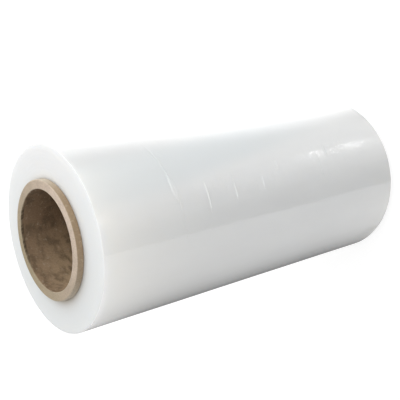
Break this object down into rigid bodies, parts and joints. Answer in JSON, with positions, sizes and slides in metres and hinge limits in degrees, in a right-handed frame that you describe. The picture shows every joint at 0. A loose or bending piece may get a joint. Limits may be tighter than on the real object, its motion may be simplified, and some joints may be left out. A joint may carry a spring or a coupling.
{
  "type": "stretch wrap roll",
  "caption": "Hand roll of clear stretch film wound tight on a spiral-wound paperboard core that stands a little proud of the film at both ends.",
  "frame": {"origin": "centre of the core's lower rim, on the surface the roll stands on", "axes": "+Z along the roll's axis, up through the core; +X and +Y are any two square directions, with the creased side of the film between +X and -Y"},
  "size_m": [0.1414, 0.1414, 0.315],
  "materials": {
    "film": "clear polyethylene film in many turns: milky white and translucent, with a soft gloss",
    "core": "matt grey-brown paperboard, fibrous, with cut ends of a paler tan"
  },
  "bodies": {
    "root": {"core_tube": "core", "film_roll": "film"}
  },
  "joints": []
}
